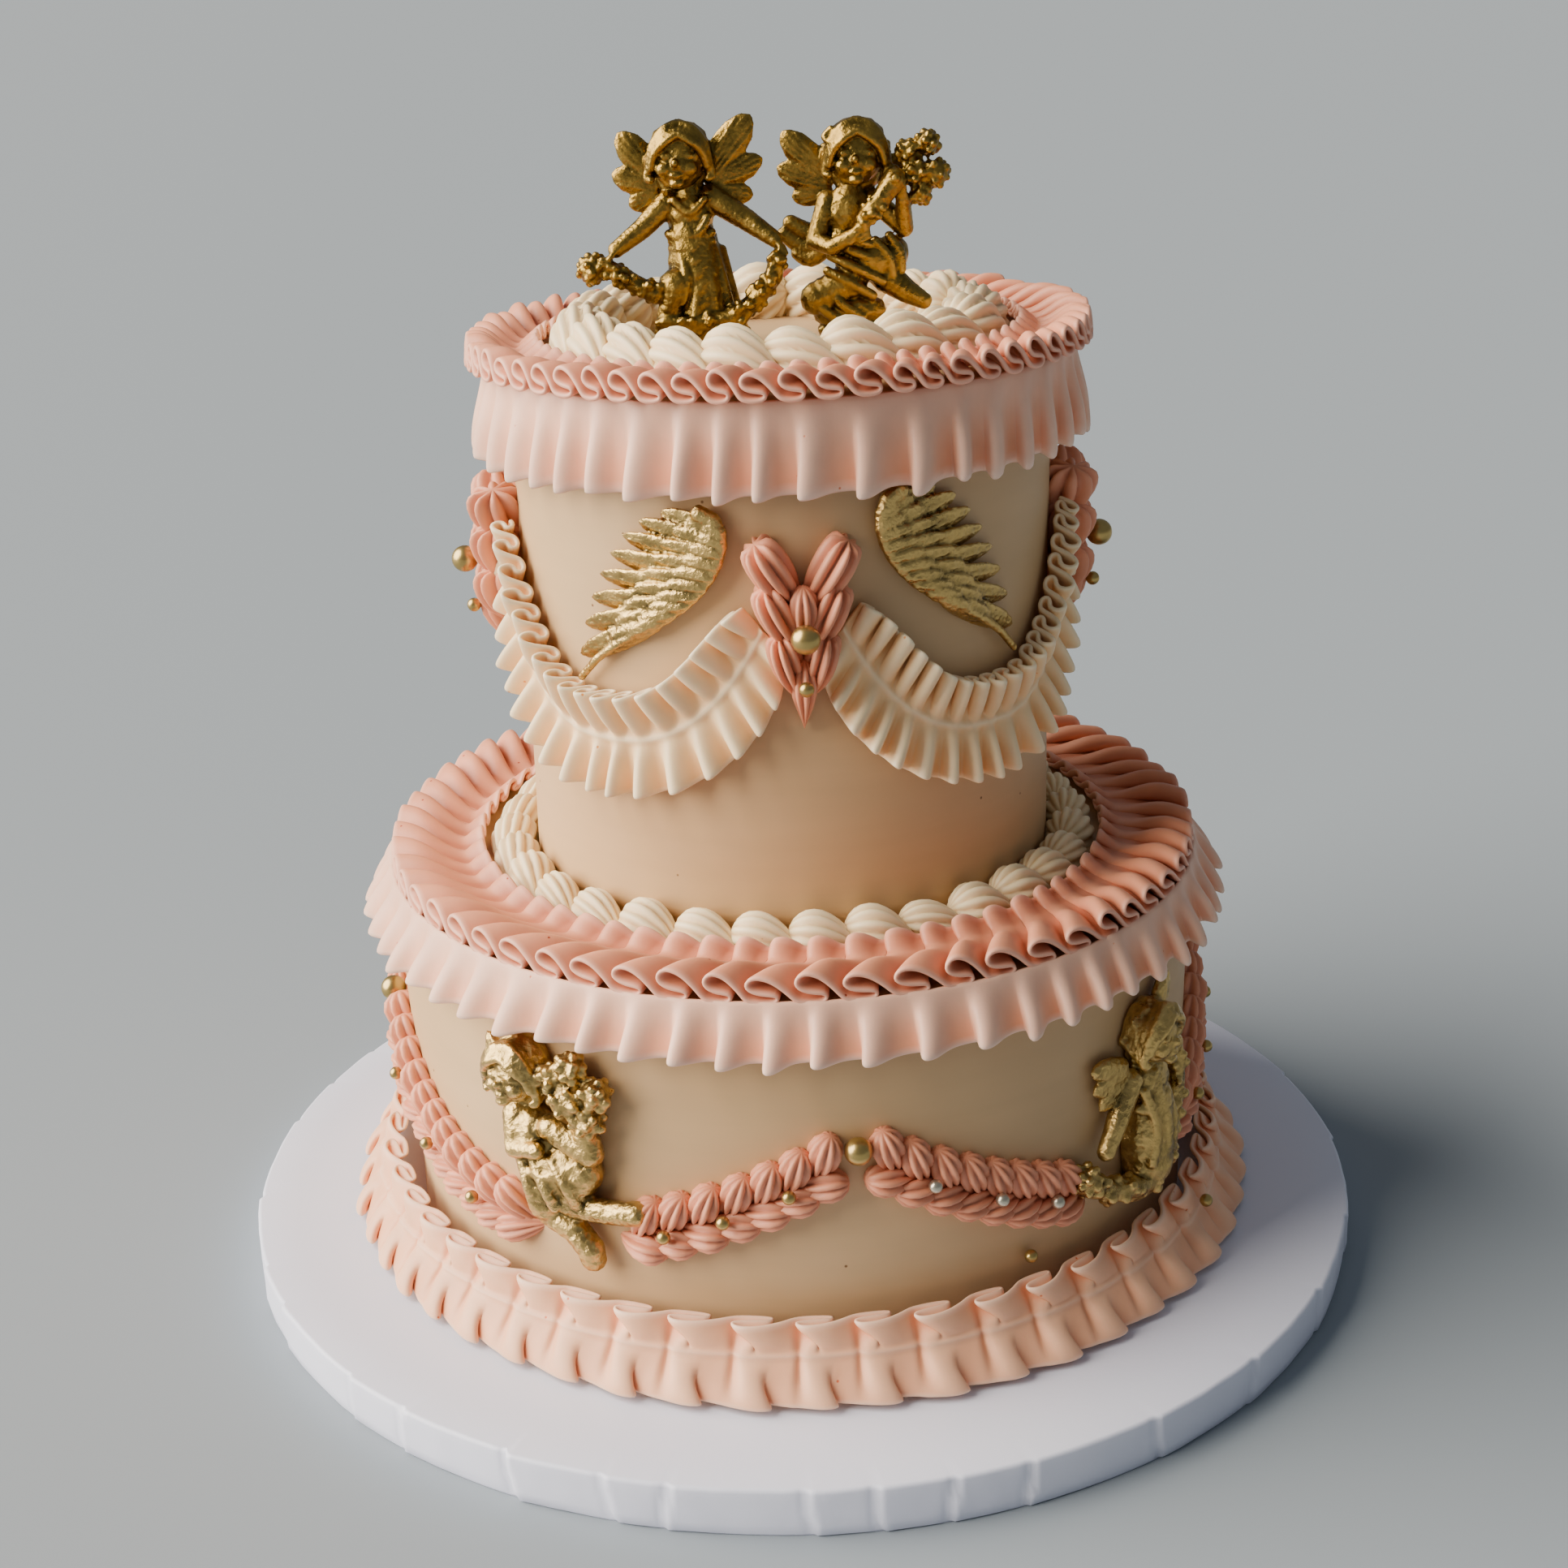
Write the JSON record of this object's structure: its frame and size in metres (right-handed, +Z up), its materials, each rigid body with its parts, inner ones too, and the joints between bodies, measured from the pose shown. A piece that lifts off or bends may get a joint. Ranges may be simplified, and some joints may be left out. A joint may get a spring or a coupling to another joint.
{
  "type": "two-tier piped buttercream cake",
  "caption": "Two round cake tiers on a drum board, piped with ruffles, shell borders, swags and garlands, with gilt cherubs, wings and pearls.",
  "frame": {"origin": "centre of the board's underside, on the surface that the cake stands on", "axes": "+Z up; -Y is the shown front, +X to the right of someone who faces that front"},
  "size_m": [0.3556, 0.3556, 0.3498],
  "materials": {
    "board": "white paper wrap, satin",
    "wall_buttercream": "smoothed buttercream, matt",
    "peach_buttercream": "piped buttercream, matt",
    "blush_buttercream": "piped buttercream, matt",
    "coral_buttercream": "piped buttercream, matt",
    "cream_buttercream": "piped buttercream, matt",
    "ivory_buttercream": "piped buttercream, matt",
    "gold_leaf": "crinkled gold leaf",
    "antique_gold_resin": "gold paint on moulded resin",
    "satin_gold_pearl": "satin pearl coat"
  },
  "bodies": {
    "root": {"board": "board", "lower_tier": "wall_buttercream", "upper_tier": "wall_buttercream", "base_ruffle": "peach_buttercream", "lower_skirt": "blush_buttercream", "upper_skirt": "blush_buttercream", "lower_collar": "coral_buttercream", "upper_collar": "coral_buttercream", "garland_1": "coral_buttercream", "garland_2": "coral_buttercream", "garland_3": "coral_buttercream", "garland_4": "coral_buttercream", "garland_5": "coral_buttercream", "garland_6": "coral_buttercream", "garland_7": "coral_buttercream", "garland_8": "coral_buttercream", "drop_1": "coral_buttercream", "drop_2": "coral_buttercream", "drop_3": "coral_buttercream", "drop_4": "coral_buttercream", "shell_border": "cream_buttercream", "top_wreath": "cream_buttercream", "swag_1": "ivory_buttercream", "swag_2": "ivory_buttercream", "swag_3": "ivory_buttercream", "swag_4": "ivory_buttercream", "relief_1": "gold_leaf", "relief_2": "gold_leaf", "relief_3": "gold_leaf", "relief_4": "gold_leaf", "wing_1": "gold_leaf", "wing_2": "gold_leaf", "wing_3": "gold_leaf", "wing_4": "gold_leaf", "cherub_left": "antique_gold_resin", "cherub_right": "antique_gold_resin", "drop_pearl_1": "satin_gold_pearl", "drop_pearl_2": "satin_gold_pearl", "drop_pearl_3": "satin_gold_pearl", "drop_pearl_4": "satin_gold_pearl", "peak_pearl_1": "satin_gold_pearl", "peak_pearl_2": "satin_gold_pearl", "peak_pearl_3": "satin_gold_pearl", "peak_pearl_4": "satin_gold_pearl", "stray_pearl_1": "satin_gold_pearl", "stray_pearl_2": "satin_gold_pearl"}
  },
  "joints": []
}
